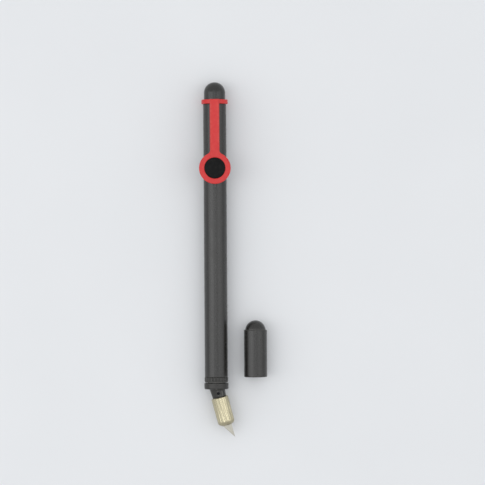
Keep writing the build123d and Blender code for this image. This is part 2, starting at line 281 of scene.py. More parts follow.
# ---- materials ----
def injection_moulded_abs(name, colour, worn, gloss, place=None):
    """ABS from a polished mould: deep gloss with a faint orange peel, long hairlines and rubbed edges."""
    material, tree, here = new_tree(name, place)
    cloud = grain(tree, here, 6 * MM)
    # handling hairlines are about 0.02 mm wide; drawn 0.12 mm wide so that they show
    hairlines = ramp(tree, grain(tree, here, 0.12 * MM, 2, (1, 1, 90)), 0.56, 0.75)
    rub = edges(tree, 0.51, 0.58, grain(tree, here, 0.8 * MM))
    tint = laid_over(tree, colour, hairlines, 0.22, worn)
    tint = mixed(tree, ramp(tree, cloud, 0.4, 0.7, 0.0, 0.06), tint, worn)
    tint = laid_over(tree, tint, rub, 0.45, worn)
    rough = roughened(tree, ramp(tree, cloud, 0.35, 0.65, gloss, gloss + 0.05), hairlines, 0.12)
    peel = dents(tree, grain(tree, here, 1.6 * MM, 1, (1, 1, 4)), 0.003 * MM)
    skin = dents(tree, grain(tree, here, 0.16 * MM, 2, (1, 1, 12)), 0.001 * MM, peel)
    shade(tree, tint, rough, skin, IOR=1.53)
    return material


def spark_textured_abs(name, colour, worn, place=None):
    """ABS from a spark-eroded mould: an even, fine pebble that breaks the highlight into a satin sheen."""
    material, tree, here = new_tree(name, place)
    # the mould's pebble is about 0.05 mm; drawn 0.11 mm so that it shows
    pebble = grain(tree, here, 0.11 * MM, 2)
    cloud = grain(tree, here, 2.5 * MM)
    rub = edges(tree, 0.52, 0.6, cloud)
    tint = mixed(tree, ramp(tree, pebble, 0.4, 0.7, 0.0, 0.12), colour, worn)
    tint = laid_over(tree, tint, rub, 0.5, worn)
    rough = ramp(tree, cloud, 0.35, 0.65, 0.4, 0.52)
    shade(tree, tint, rough, dents(tree, pebble, 0.008 * MM), IOR=1.53)
    return material


def moulded_polypropylene(name, colour, worn):
    """Polypropylene moulding: a waxy, slightly cloudy red with flow marks and paler rubbed edges."""
    material, tree, here = new_tree(name)
    flow = grain(tree, here, 1.6 * MM, 4, (1, 1, 5))
    # pocket scuffs are about 0.05 mm wide; drawn 0.14 mm wide so that they show
    scuffs = ramp(tree, grain(tree, here, 0.14 * MM, 2, (1, 1, 16)), 0.62, 0.76)
    rub = edges(tree, 0.515, 0.6, flow)
    tint = mixed(tree, ramp(tree, flow, 0.4, 0.68, 0.0, 0.16), colour, worn)
    tint = laid_over(tree, tint, scuffs, 0.22, worn)
    tint = laid_over(tree, tint, rub, 0.55, worn)
    rough = roughened(tree, ramp(tree, flow, 0.3, 0.7, 0.34, 0.46), scuffs, 0.15)
    peel = dents(tree, grain(tree, here, 1.1 * MM, 1), 0.008 * MM)
    skin = dents(tree, grain(tree, here, 0.15 * MM, 2), 0.002 * MM, peel)
    shade(tree, tint, rough, skin, IOR=1.49)
    return material


def disc_painted_shade_finish(name, colour):
    """Disc finish from a blasted mould, painted shade: its deep, even black with almost no highlight stands in for
    the shade in the clip's ring, with a little bloom.
    """
    material, tree, here = new_tree(name)
    bloom = ramp(tree, grain(tree, here, 0.9 * MM, 4), 0.45, 0.75, 0.0, 0.05)
    rub = combine(tree, "MULTIPLY", edges(tree, 0.52, 0.6, bloom), 0.2)
    tint = mixed(tree, combine(tree, "ADD", bloom, rub), colour, linear("#6a6a68"))
    # a blasted mould's tooth is about 0.04 mm; drawn 0.12 mm so that it shows
    tooth = dents(tree, grain(tree, here, 0.12 * MM, 2), 0.006 * MM)
    shade(tree, tint, ramp(tree, bloom, 0.0, 0.05, 0.6, 0.72), tooth, IOR=1.52, Specular_IOR_Level=0.15)
    return material


def machined_nylon(name, colour, place):
    """Nylon cut from sheet: a milky off-white, slightly mottled, with faint cutting rings."""
    material, tree, here = new_tree(name, place)
    mottle = grain(tree, here, 1.2 * MM, 4)
    tint = mixed(tree, ramp(tree, mottle, 0.35, 0.7, 0.0, 0.25), colour, linear("#a8a292"))
    rings = grain(tree, here, 0.1 * MM, 1, (0, 0, 1))
    shade(tree, tint, ramp(tree, mottle, 0.3, 0.7, 0.45, 0.6), dents(tree, rings, 0.003 * MM), IOR=1.53)
    return material


def turned_metal(name, colour, pitch, gloss, place=None, tarnish=0.3):
    """Bar metal turned on a lathe: fine rings round the axis, a bright edge and a slightly uneven tarnish."""
    material, tree, here = new_tree(name, place)
    rings = grain(tree, here, pitch, 2, (0, 0, 1))
    cloud = grain(tree, here, 1.3 * MM, 4)
    tint = mixed(tree, ramp(tree, cloud, 0.4, 0.75, 0.0, tarnish), colour, scaled(colour, 0.35))
    tint = mixed(tree, edges(tree, 0.52, 0.6, cloud), tint, scaled(colour, 1.2))
    rough = ramp(tree, cloud, 0.35, 0.7, gloss, gloss + 0.16)
    shade(tree, tint, rough, dents(tree, rings, 0.004 * MM), Metallic=1.0)
    return material


def black_anodised_aluminium(name, colour, worn):
    """Aluminium turned and dyed black: satin, faint turning rings, bare metal where the edges rub."""
    material, tree, here = new_tree(name)
    rings = grain(tree, here, 0.14 * MM, 2, (0, 0, 1))
    cloud = grain(tree, here, 2 * MM, 4)
    specks = ramp(tree, grain(tree, here, 0.25 * MM, 3), 0.66, 0.74)
    rub = edges(tree, 0.53, 0.62, cloud)
    tint = mixed(tree, ramp(tree, rings, 0.4, 0.7, 0.0, 0.12), colour, worn)
    tint = laid_over(tree, tint, specks, 0.12, worn)
    tint = laid_over(tree, tint, rub, 0.45, worn)
    rough = ramp(tree, cloud, 0.35, 0.7, 0.3, 0.42)
    shade(tree, tint, rough, dents(tree, rings, 0.004 * MM), Metallic=0.25)
    return material


def knurled_nickel(name, colour, tone_and_shade):
    """Brass knurled, then nickel plated: pale champagne metal, bright on the crests, with painted shade darkening
    the grooves.
    """
    material, tree, here = new_tree(name)
    shape = add(tree, "NewGeometry")["Pointiness"]
    cloud = grain(tree, here, 1.8 * MM, 4)
    # the marks of drawing the bar are about 0.02 mm wide; drawn 0.1 mm wide so that they show
    lines = grain(tree, here, 0.1 * MM, 2, (1, 1, 80))
    # painted shade: the knurl's grooves, found by their hollow shape, are darkened towards the darker nickel and
    # made rougher
    painted_groove_shade = combine(tree, "MULTIPLY", ramp(tree, shape, 0.5, 0.43), ramp(tree, cloud, 0.3, 0.6, 0.7, 0.95))
    tint = mixed(tree, ramp(tree, cloud, 0.4, 0.75, 0.0, 0.1), colour, tone_and_shade)
    tint = mixed(tree, ramp(tree, lines, 0.55, 0.75, 0.0, 0.2), tint, tone_and_shade)
    tint = mixed(tree, painted_groove_shade, tint, tone_and_shade)
    rough = roughened(tree, ramp(tree, cloud, 0.3, 0.7, 0.23, 0.28), painted_groove_shade, 0.25)
    shade(tree, tint, rough, dents(tree, lines, 0.0015 * MM), Metallic=1.0)
    return material


def ground_blade_steel(name, colour, stretch, gloss, spots):
    """Carbon steel strip: fine parallel grinding lines, with small dark spots of oil and handling."""
    material, tree, here = new_tree(name)
    # grinding grit leaves lines about 0.01 mm apart; drawn 0.06 mm apart so that they show
    lines = grain(tree, here, 0.06 * MM, 2, stretch)
    stains = ramp(tree, grain(tree, here, 0.9 * MM, 5), 0.6, 0.78, 0.0, spots)
    dark = scaled(colour, 0.3)
    tint = mixed(tree, ramp(tree, lines, 0.4, 0.75, 0.0, 0.25), colour, dark)
    tint = mixed(tree, stains, tint, dark)
    rough = ramp(tree, lines, 0.35, 0.7, gloss, gloss + 0.14)
    shade(tree, tint, rough, dents(tree, lines, 0.003 * MM), Metallic=1.0)
    return material


def painted_board(name, colour):
    """Painted board, rolled matt: plain and pale, with a barely uneven tone."""
    material, tree, here = new_tree(name)
    cloud = grain(tree, here, 60 * MM, 3)
    tint = mixed(tree, ramp(tree, cloud, 0.35, 0.7, 0.0, 0.06), colour, linear("#c4c6c8"))
    tooth = dents(tree, grain(tree, here, 0.8 * MM, 2), 0.01 * MM)
    shade(tree, tint, ramp(tree, cloud, 0.3, 0.7, 0.75, 0.85), tooth, Specular_IOR_Level=0.2)
    return material


# ---- mesh helpers ----
def finished(name, bm):
    """Turns bmesh data into a mesh that is smooth except over sharp edges."""
    bmesh.ops.recalc_face_normals(bm, faces=bm.faces)
    mesh = bpy.data.meshes.new(name)
    bm.to_mesh(mesh)
    bm.free()
    mesh.shade_smooth()
    mesh.set_sharp_from_angle(angle=SHARP_ANGLE)
    return mesh


def lofted(name, rings, closed=False):
    """A skin from each ring of points to the next. A ring of one point closes the skin there."""
    bm = bmesh.new()
    loops = [[bm.verts.new(point) for point in ring] for ring in rings]
    pairs = list(zip(loops, loops[1:]))
    if closed:
        pairs.append((loops[-1], loops[0]))
    for near, far in pairs:
        for k in range(max(len(near), len(far))):
            corners = [near[k % len(near)], near[(k + 1) % len(near)],
                       far[(k + 1) % len(far)], far[k % len(far)]]
            bm.faces.new(list(dict.fromkeys(corners)))
    return finished(name, bm)


def rounded(outline, closed):
    """An outline of (radius, place, corner size) as points, with an arc at each corner that has a size."""
    corners = [Vector(item[:2]) for item in outline]
    points = []
    for k, item in enumerate(outline):
        here, size = corners[k], item[2] if len(item) > 2 else 0
        if not size:
            points.append(here)
            continue
        back = (corners[k - 1] - here).normalized()
        on = (corners[(k + 1) % len(corners)] - here).normalized()
        half = back.angle(on) / 2
        centre = here + (back + on).normalized() * size / sin(half)
        first = (here + back * size / tan(half) - centre).normalized()
        last = (here + on * size / tan(half) - centre).normalized()
        points += [centre + first.slerp(last, step / ARC_STEPS) * size for step in range(ARC_STEPS + 1)]
    return divided(points, closed)


def divided(points, closed):
    """Adds points along the long runs, the first and last close to the corners."""
    result = []
    for k, near in enumerate(points):
        result.append(near)
        if k == len(points) - 1 and not closed:
            break
        far = points[(k + 1) % len(points)]
        length = (far - near).length
        if length < 4 * CORNER_SUPPORT:
            continue
        step = (far - near) / length
        inner = length - 2 * CORNER_SUPPORT
        count = max(1, round(inner / LONGEST_STEP))
        result += [near + step * (CORNER_SUPPORT + inner * n / count) for n in range(count + 1)]
    return result


def turned(name, outline, sides=SIDES, cut=None):
    """A piece turned round local Z. The outline is open if it starts and ends on the axis. cut says how far
    the surface is cut back at (radius, place, angle)."""
    closed = outline[0][0] > 0
    rings = []
    for radius, place in rounded(outline, closed):
        if radius < 1e-9:
            rings.append([Vector((0, 0, place))])
            continue
        ring = []
        for k in range(sides):
            angle = tau * k / sides
            r = radius - (cut(radius, place, angle) if cut else 0)
            ring.append(Vector((r * cos(angle), r * sin(angle), place)))
        rings.append(ring)
    return lofted(name, rings, closed)


def straight_grooves(count, depth, width, start, end, run_out, outer):
    """Cut for turned(): round-bottomed grooves along the outer surface, fading out over run_out at each end."""
    def cut(radius, place, angle):
        fade = min(1, max(0, (place - start) / run_out), max(0, (end - place) / run_out))
        across = abs((angle * count / tau) % 1 - 0.5) * tau * outer / count
        groove_floor = outer - depth * fade * sqrt(max(0, 1 - (2 * across / width) ** 2))
        return max(0, radius - groove_floor) if radius > outer - MM else 0
    return cut


def arch(radius, height, base, way):
    """Points of a domed end, from the axis out to its foot."""
    ball = (radius ** 2 + height ** 2) / (2 * height)
    widest = asin(min(1, radius / ball)) if height <= ball else pi - asin(radius / ball)
    centre = base + way * (height - ball)
    angles = [widest * k / DOME_STEPS for k in range(DOME_STEPS + 1)]
    return [(ball * sin(a), centre + way * ball * cos(a)) for a in angles]


def linked(name, data):
    """A new object in the scene."""
    made = bpy.data.objects.new(name, data)
    bpy.context.scene.collection.objects.link(made)
    return made


def combined(mesh, other, operation):
    """The mesh after a Boolean with another mesh in the same frame."""
    work = [linked("work", item) for item in (mesh, other)]
    join = work[0].modifiers.new("combine", "BOOLEAN")
    join.operation, join.object, join.solver = operation, work[1], "EXACT"
    bpy.context.view_layer.update()
    graph = bpy.context.evaluated_depsgraph_get()
    result = bpy.data.meshes.new_from_object(work[0].evaluated_get(graph))
    for item in work:
        bpy.data.objects.remove(item)
    if not result.polygons:
        raise RuntimeError(f"nothing is left of {mesh.name} after the Boolean")
    result.shade_smooth()
    result.set_sharp_from_angle(angle=SHARP_ANGLE)
    return result


def block(low, high):
    """A rectangular cutter."""
    bm = bmesh.new()
    bmesh.ops.create_cube(bm, size=1)
    size, middle = Vector(high) - Vector(low), (Vector(high) + Vector(low)) / 2
    bmesh.ops.transform(bm, matrix=Matrix.Translation(middle) @ Matrix.Diagonal(size).to_4x4(), verts=bm.verts)
    return finished("cutter", bm)


def add_piece(name, mesh, place, body, node, *materials):
    """Puts a finished mesh in the scene for a CAD node, on its body."""
    mesh.materials.clear()
    for material in materials:
        mesh.materials.append(material)
    piece = linked(name, mesh)
    piece.matrix_world = place
    if body:
        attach(piece, body)
    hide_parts(node)
    return piece


def shared_black():
    """The gloss black of the barrel, the plug and the cap, made once."""
    colours = bpy.context.scene.knife_colours
    name = "abs_gloss_black_moulded"
    return bpy.data.materials.get(name) or injection_moulded_abs(name, colours.black, colours.black_worn, 0.24)


def settings(context):
    return context.scene.knife_sizes, context.scene.knife_colours


# ---- operators: one for each piece ----
class KNIFE_OT_barrel(bpy.types.Operator):
    """Builds the hollow black barrel, bored out at the nose for the bushes"""
    bl_idname = "knife.barrel"
    bl_label = "Barrel"

    def execute(self, context):
        sizes = context.scene.knife_sizes
        low, high = measure("barrel", BARREL)
        collar_end = measure("clip_collar", BARREL)[1].z
        bush_low, bush_high = measure("rear_bush", BARREL)
        spigot = sizes.spigot_radius
        edge = sizes.moulded_edge
        outline = [
            (sizes.bore_radius, low.z), (spigot, low.z, edge / 2), (spigot, collar_end),
            (high.x, collar_end, edge), (high.x, high.z, edge), (bush_high.x, high.z, edge / 2),
            (bush_high.x, bush_low.z), (sizes.bore_radius, bush_low.z),
        ]
        add_piece("barrel_tube", turned("barrel_tube", outline), BARREL, "barrel", "barrel", shared_black())
        return {"FINISHED"}


class KNIFE_OT_tail_plug(bpy.types.Operator):
    """Builds the domed plug that closes the tail"""
    bl_idname = "knife.tail_plug"
    bl_label = "Tail plug"

    def execute(self, context):
        sizes = context.scene.knife_sizes
        low, high = measure("end_plug", BARREL)
        shoulder = measure("clip_collar", BARREL)[0].z
        dome_base = low.z + high.x
        stem, lead = sizes.bore_radius - sizes.run_gap, sizes.plug_lead
        outline = arch(high.x, dome_base - low.z, dome_base, -1) + [
            (high.x, shoulder, sizes.moulded_edge / 2), (stem, shoulder), (stem, high.z - lead),
            (stem - lead, high.z), (stem - sizes.plug_wall, high.z),
            (stem - sizes.plug_wall, dome_base), (0, dome_base),
        ]
        add_piece("tail_plug", turned("tail_plug", outline), BARREL, "end_plug", "end_plug", shared_black())
        return {"FINISHED"}


class KNIFE_OT_pocket_clip(bpy.types.Operator):
    """Builds the red clip as one moulding: collar, strip and ring."""
    bl_idname = "knife.pocket_clip"
    bl_label = "Pocket clip"

    def execute(self, context):
        sizes, colours = settings(context)
        collar_low, collar_high = measure("clip_collar", BARREL)
        plate = self.plate(sizes, collar_low.z, collar_high.z)
        inner = sizes.spigot_radius
        edge = sizes.clip_edge
        outline = [
            (inner, collar_low.z), (collar_high.x, collar_low.z, edge),
            (collar_high.x, collar_high.z, edge), (inner, collar_high.z),
        ]
        clip = combined(plate, turned("collar", outline), "UNION")
        red = moulded_polypropylene("polypropylene_red_moulded", colours.red, colours.red_worn)
        piece = add_piece("pocket_clip_moulding", clip, BARREL, None, "clip_collar", red)
        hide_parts("clip_arm")
        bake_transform(piece)
        return {"FINISHED"}

    def plate(self, sizes, root, collar_end):
        """The strip and its ring, in columns across and rows along."""
        low, high = measure("clip_arm", BARREL)
        badge = measure("clip_badge", BARREL)[1]
        half, ring_r, top = sizes.clip_width / 2, high.x, high.y
        hole_r, centre = badge.x + 0.02 * MM, high.z - high.x
        strip_base, ring_base = top - sizes.clip_thickness, low.y
        set_in = 0.02 * MM  # keeps the root's end faces inside the collar's
        root_under = measure("barrel", BARREL)[1].x - 0.1 * MM  # the root dips into the collar, which hides it
        fade = 1.2 * MM  # length over which the ring's underside rises to the strip's
        # the strip's side meets the ring's rim in an arc round this point
        fillet = sizes.clip_fillet
        arc_x = half + fillet
        arc_z = centre - sqrt((ring_r + fillet) ** 2 - arc_x ** 2)
        swing = atan2(centre - arc_z, arc_x)
        rim_steps, arch_steps, side_steps, turn_steps = 3, 10, 6, 72
        columns = 2 * rim_steps + arch_steps

        def under(x, z):
            """Height of the underside."""
            if z < collar_end - set_in / 2:
                return root_under
            rise = sizes.clip_root
            if z < collar_end + rise:
                return strip_base - rise + sqrt(rise ** 2 - (collar_end + rise - z) ** 2)
            away = (Vector((x, z - centre)).length - ring_r) / fade
            blend = min(1, max(0, away))
            return ring_base + (strip_base - ring_base) * blend * blend * (3 - 2 * blend)

        def across(z):
            return [Vector((half * (1 - 2 * k / columns), z)) for k in range(columns + 1)]

        root_rows = [root + set_in, (root + collar_end) / 2, collar_end - set_in, collar_end]
        root_rows += [collar_end + sizes.clip_root * k / 4 for k in (1, 2, 3, 4)]
        long_rows = round((arc_z - root_rows[-1]) / MM)
        rows = [across(z) for z in root_rows]
        rows += [across(root_rows[-1] + (arc_z - root_rows[-1]) * k / long_rows)
                 for k in range(1, long_rows + 1)]
        # where the arc meets the ring, as an angle from the ring's centre
        meet = atan2(arc_z - centre, arc_x)
        outer = Vector((cos(meet), sin(meet)))

        def mirrored(v):
            return Vector((-v.x, v.y))

        def at(v):
            return Vector((v.x, v.y + centre))

        last = [at(outer * (ring_r + (hole_r - ring_r) * k / rim_steps)) for k in range(rim_steps)]
        over = [meet + (-pi - 2 * meet) * k / arch_steps for k in range(arch_steps + 1)]
        last += [at(Vector((cos(a), sin(a))) * hole_r) for a in over]
        last += [at(mirrored(outer) * (ring_r + (hole_r - ring_r) * k / rim_steps))
                 for k in range(rim_steps - 1, -1, -1)]
        first = rows[-1]
        for step in range(1, side_steps + 1):
            t = step / side_steps
            a = pi - swing * t
            side = Vector((arc_x + fillet * cos(a), arc_z + fillet * sin(a)))
            shift = side - first[0].lerp(last[0], t)
            row = []
            for k in range(columns + 1):
                u = k / columns
                pull = Vector((shift.x * (1 - 2 * u), shift.y))
                row.append(first[k].lerp(last[k], t) + pull * abs(1 - 2 * u))
            rows.append(row if step < side_steps else last)
        # the rest of the ring, from one side round the bottom to the other
        rim = []
        for step in range(turn_steps + 1):
            a = meet + (pi - 2 * meet) * step / turn_steps
            ray = Vector((cos(a), sin(a)))
            rim.append([at(ray * (ring_r + (hole_r - ring_r) * k / rim_steps)) for k in range(rim_steps + 1)])
        rim[0] = last[:rim_steps + 1]
        rim[-1] = last[-1:-rim_steps - 2:-1]
        return self.thick(sizes, [rows, rim], top, under)

    def thick(self, sizes, sheets, top, under):
        """Gives a flat grid its upper face, its underside and its sides, and rounds its rims."""
        bm = bmesh.new()
        upper, lower = {}, {}

        def vertex(store, v, height):
            key = (round(v.x / MM, 4), round(v.y / MM, 4))
            if key not in store:
                store[key] = bm.verts.new((v.x, height, v.y))
            return store[key]

        for sheet in sheets:
            for near, far in zip(sheet, sheet[1:]):
                for k in range(len(near) - 1):
                    corners = [near[k], near[k + 1], far[k + 1], far[k]]
                    bm.faces.new([vertex(upper, v, top) for v in corners])
                    bm.faces.new([vertex(lower, v, under(v.x, v.y)) for v in reversed(corners)])
        twin = {upper[key]: lower[key] for key in upper}
        rims = [edge for edge in bm.edges if edge.is_boundary and edge.verts[0] in twin]
        for edge in rims:
            a, b = edge.verts
            bm.faces.new([a, b, twin[b], twin[a]])
        bmesh.ops.recalc_face_normals(bm, faces=bm.faces)
        bmesh.ops.bevel(bm, geom=rims, offset=sizes.clip_edge, segments=4, profile=0.5, affect="EDGES")
        return finished("clip_plate", bm)


class KNIFE_OT_clip_badge(bpy.types.Operator):
    """Builds the plain domed disc in the clip's ring"""
    bl_idname = "knife.clip_badge"
    bl_label = "Clip disc"

    def execute(self, context):
        sizes, colours = settings(context)
        low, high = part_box("clip_badge")
        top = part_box("clip_arm")[1].z
        place = Matrix.Translation(((low.x + high.x) / 2, (low.y + high.y) / 2, 0))
        outline = arch(high.x, high.z - top, top, 1)
        outline[-1] = (*outline[-1], 0.1 * MM)
        outline += [(high.x, low.z, sizes.moulded_edge), (0, low.z)]
        # the disc is coloured near-black as painted shade, the dark of the ring's hole
        black = disc_painted_shade_finish("disc_black_painted_shade", colours.rubber)
        add_piece("clip_disc", turned("clip_disc", outline), place, "clip", "clip_badge", black)
        return {"FINISHED"}


class KNIFE_OT_lock_ring(bpy.types.Operator):
    """Builds the ribbed ring that locks the swivel"""
    bl_idname = "knife.lock_ring"
    bl_label = "Lock ring"

    def execute(self, context):
        sizes, colours = settings(context)
        low, high = measure("lock_ring", BARREL)
        inner = measure("front_bush", BARREL)[1].x + sizes.run_gap
        outer, edge = high.y, sizes.turned_edge
        outline = [(inner, low.z), (outer, low.z, edge), (outer, high.z, edge), (inner, high.z)]
        pitch = tau * outer / sizes.rib_count
        past, run_out = MM, 0.2 * MM  # the grooves go right through both faces, so they never fade
        ribs = straight_grooves(sizes.rib_count, sizes.rib_depth, 0.45 * pitch, low.z - past, high.z + past,
                                run_out, outer)
        mesh = turned("lock_ring", outline, sizes.rib_count * 18, ribs)
        satin = spark_textured_abs("abs_satin_black_spark_textured", colours.ring_black, colours.black_worn)
        add_piece("ribbed_lock_ring", mesh, BARREL, "lock_ring", "lock_ring", satin)
        return {"FINISHED"}


class KNIFE_OT_swivel_head(bpy.types.Operator):
    """Builds the swivelling head: hub, disc, leaning neck and the stem that holds the collet"""
    bl_idname = "knife.swivel_head"
    bl_label = "Swivel head"

    def execute(self, context):
        sizes, colours = settings(context)
        low, high = measure("swivel_head", BARREL)
        disc_r = high.y
        disc_front = -bend.y + sizes.disc_thickness / 2
        disc_rear = disc_front - sizes.disc_thickness
        shaft = measure("swivel_shaft", BARREL)[1]
        hub_r = measure("rear_bush", BARREL)[1].x - sizes.bush_wall - sizes.run_gap
        collet_low, collet_high = measure("collet", CHUCK)
        stem_end = measure("swivel_head", CHUCK)[1].z
        stem_r = collet_high.y + sizes.stem_wall
        shoulder_r, root_r = stem_r + sizes.neck_lip, stem_r + sizes.neck_flare
        neck_end = (nut_rear - bend).length - sizes.run_gap
        edge = sizes.turned_edge

        def circle(radius, place):
            return [Vector((radius * cos(tau * k / SIDES), radius * sin(tau * k / SIDES), place))
                    for k in range(SIDES)]

        def on_chuck(radius, along, angle):
            """A point at this angle round the chuck, in the barrel's frame."""
            across = radius * cos(angle)
            return Vector((along * sin(LEAN) + across * cos(LEAN), radius * sin(angle),
                           -bend.y + along * cos(LEAN) - across * sin(LEAN)))

        def neck_r(along):
            return root_r + (shoulder_r - root_r) * along / neck_end

        def chuck_ring(radius, along):
            return [on_chuck(radius, along, tau * k / SIDES) for k in range(SIDES)]

        section = rounded([
            (0, shaft.z), (shaft.x, shaft.z), (shaft.x, low.z, edge), (hub_r, low.z, edge),
            (hub_r, disc_rear), (disc_r, disc_rear, edge), (disc_r, disc_front, sizes.disc_edge),
            (disc_r - 2 * sizes.disc_edge, disc_front),
        ], closed=False)
        rings = [circle(*point) if point[0] > 0 else [Vector((0, 0, point[1]))] for point in section]
        rings.pop()
        # the neck's foot: from the disc's face, through a fillet, up onto the leaning cone
        feet = []
        for k in range(SIDES):
            angle = tau * k / SIDES
            along = (disc_front + bend.y + root_r * cos(angle) * sin(LEAN)) / cos(LEAN)
            crease = on_chuck(neck_r(along), along, angle)
            crease.z = disc_front
            axis_point = Vector(((disc_front + bend.y) * tan(LEAN), 0, disc_front))
            outward = (crease - axis_point).normalized()
            feet.append((crease + outward * sizes.neck_fillet, crease,
                         on_chuck(neck_r(along + sizes.neck_fillet), along + sizes.neck_fillet, angle)))
        for step in range(ARC_STEPS + 2):
            t = step / (ARC_STEPS + 1)
            rings.append([a * (1 - t) ** 2 + b * 2 * t * (1 - t) + c * t * t for a, b, c in feet])
        first_ring = 2.9 * MM  # just past the fillet on the side the neck leans towards, where it ends last
        for k in range(4):
            along = first_ring + (neck_end - edge - first_ring) * k / 3
            rings.append(chuck_ring(neck_r(along), along))
        rings.append(chuck_ring(shoulder_r - edge, neck_end))
        rings.append(chuck_ring(stem_r, neck_end))
        for radius, along in ((stem_r, stem_end - edge), (stem_r - edge, stem_end),
                              (collet_high.y, stem_end), (collet_high.y, collet_low.z)):
            rings.append(chuck_ring(radius, along))
        rings.append([on_chuck(0, collet_low.z, 0)])
        head = lofted("swivel_head", rings)
        for cutter in self.cutters(sizes):
            head = combined(head, cutter, "DIFFERENCE")
        black = black_anodised_aluminium("aluminium_black_anodised", colours.head, colours.head_worn)
        add_piece("swivelling_head", head, BARREL, "swivel_head", "swivel_head", black)
        return {"FINISHED"}

    def cutters(self, sizes):
        """The blade's slot and the screw's hole, moved into the barrel's frame."""
        to_barrel = BARREL.inverted() @ CHUCK
        blade_low, blade_high = measure("blade", CHUCK)
        gap = sizes.run_gap
        stem_end = measure("swivel_head", CHUCK)[1].z
        slot = block((blade_low.x - gap, blade_low.y - gap, blade_low.z - gap),
                     (blade_high.x + gap, blade_high.y + gap, stem_end + MM))
        slot.transform(to_barrel)
        low, high = measure("neck_screw", CHUCK)
        radius = (high.x - low.x) / 2 + sizes.screw_fit
        reach = high.y + 2 * MM
        hole = turned("hole", [(0, low.y), (radius, low.y), (radius, reach), (0, reach)], 48)
        hole.transform(to_barrel @ upright(low, high))
        return slot, hole


class KNIFE_OT_neck_screw(bpy.types.Operator):
    """Builds the small slotted screw in the neck"""
    bl_idname = "knife.neck_screw"
    bl_label = "Neck screw"

    def execute(self, context):
        sizes, colours = settings(context)
        low, high = measure("neck_screw", CHUCK)
        radius = (high.x - low.x) / 2
        outline = [(0, low.y), (radius, low.y, 0.08 * MM), (radius, high.y, 0.12 * MM), (0, high.y)]
        screw = turned("neck_screw", outline, 48)
        reach, half = 2 * radius, sizes.screw_slot_width / 2
        driver = block((-reach, -half, high.y - sizes.screw_slot_depth), (reach, half, high.y + MM))
        screw = combined(screw, driver, "DIFFERENCE")
        steel = turned_metal("steel_black_oxide_turned", colours.screw, 0.09 * MM, 0.42)
        add_piece("neck_set_screw", screw, CHUCK @ upright(low, high), "swivel_head", "neck_screw", steel)
        return {"FINISHED"}


class KNIFE_OT_chuck_nut(bpy.types.Operator):
    """Builds the straight-knurled nut with its bullet nose"""
    bl_idname = "knife.chuck_nut"
    bl_label = "Chuck nut"

    def execute(self, context):
        sizes, colours = settings(context)
        low, high = measure("chuck_nut", CHUCK)
        gap = sizes.run_gap
        thread_r = measure("collet", CHUCK)[1].y + sizes.stem_wall + gap
        thread_end = measure("swivel_head", CHUCK)[1].z + gap
        relief_r = measure("clamp_ring", CHUCK)[1].y + gap
        mouth_r = measure("blade", CHUCK)[1].x + sizes.nut_mouth_gap
        wall = high.z - sizes.nut_front_wall
        chamfer, outer = sizes.nut_chamfer, high.y
        outline = [
            (thread_r, low.z), (outer - chamfer, low.z, 0.06 * MM), (outer, low.z + chamfer, 0.1 * MM),
            (outer, high.z, sizes.nut_nose), (mouth_r, high.z, 0.1 * MM), (mouth_r, wall),
            (relief_r, wall), (relief_r, thread_end), (thread_r, thread_end),
        ]
        pitch = tau * outer / sizes.knurl_count
        land, lap, run_out = 0.5 * MM, 0.1 * MM, 0.6 * MM  # plain behind the knurl, its lap on the nose, fade
        knurl = straight_grooves(sizes.knurl_count, sizes.knurl_depth, 0.4 * pitch, low.z + land,
                                 high.z - sizes.nut_nose + lap, run_out, outer)
        mesh = turned("chuck_nut", outline, sizes.knurl_count * 18, knurl)
        nickel = knurled_nickel("nickel_champagne_plated_knurled", colours.nickel, colours.nickel_dark)
        add_piece("knurled_nut", mesh, CHUCK, "chuck_nut", "chuck_nut", nickel)
        return {"FINISHED"}


class KNIFE_OT_blade(bpy.types.Operator):
    """Builds the flat blade with two ground bevels along its slanted edge"""
    bl_idname = "knife.blade"
    bl_label = "Blade"

    def execute(self, context):
        sizes, colours = settings(context)
        low, high = measure("blade", CHUCK)
        slant = radians(33)  # between the cutting edge and the blade's length
        half, thick, keen = high.x, high.y, sizes.blade_keen
        edge_end = high.z - 2 * half / tan(slant)
        back_off = sizes.blade_bevel / sin(slant)
        outline = [
            (-half, low.z, thick), (half, low.z, thick), (half, high.z - back_off, thick),
            (half, high.z, keen), (-half, edge_end, keen), (-half, edge_end - back_off, thick),
        ]
        bm = bmesh.new()
        upper = [bm.verts.new((x, t, z)) for x, z, t in outline]
        lower = [bm.verts.new((x, -t, z)) for x, z, t in outline]
        flat, bevel = (0, 1, 2, 5), (5, 2, 3, 4)
        for side in (upper, lower):
            bm.faces.new([side[k] for k in flat])
            bm.faces.new([side[k] for k in bevel]).material_index = 1
        for k in range(6):
            n = (k + 1) % 6
            bm.faces.new([upper[k], upper[n], lower[n], lower[k]])
        bmesh.ops.recalc_face_normals(bm, faces=bm.faces)
        # stamped edges are just broken; the cutting edge and its bevel stay crisp
        corners = [e for e in bm.edges if all(abs(abs(v.co.y) - thick) < 1e-7 for v in e.verts)
                   and abs(e.verts[0].co.y - e.verts[1].co.y) < 1e-7
                   and not {f.material_index for f in e.link_faces} & {1}]
        bmesh.ops.bevel(bm, geom=corners, offset=sizes.blade_edge, segments=2, profile=0.5, affect="EDGES")
        mesh = finished("blade", bm)
        flat_steel = ground_blade_steel("carbon_steel_strip_ground", colours.blade, (1, 1, 90), 0.34, 0.35)
        bevel_steel = ground_blade_steel("carbon_steel_bevel_honed", colours.blade_edge, (40, 1, 1), 0.26, 0.1)
        add_piece("pointed_blade", mesh, CHUCK, "blade", "blade", flat_steel, bevel_steel)
        return {"FINISHED"}


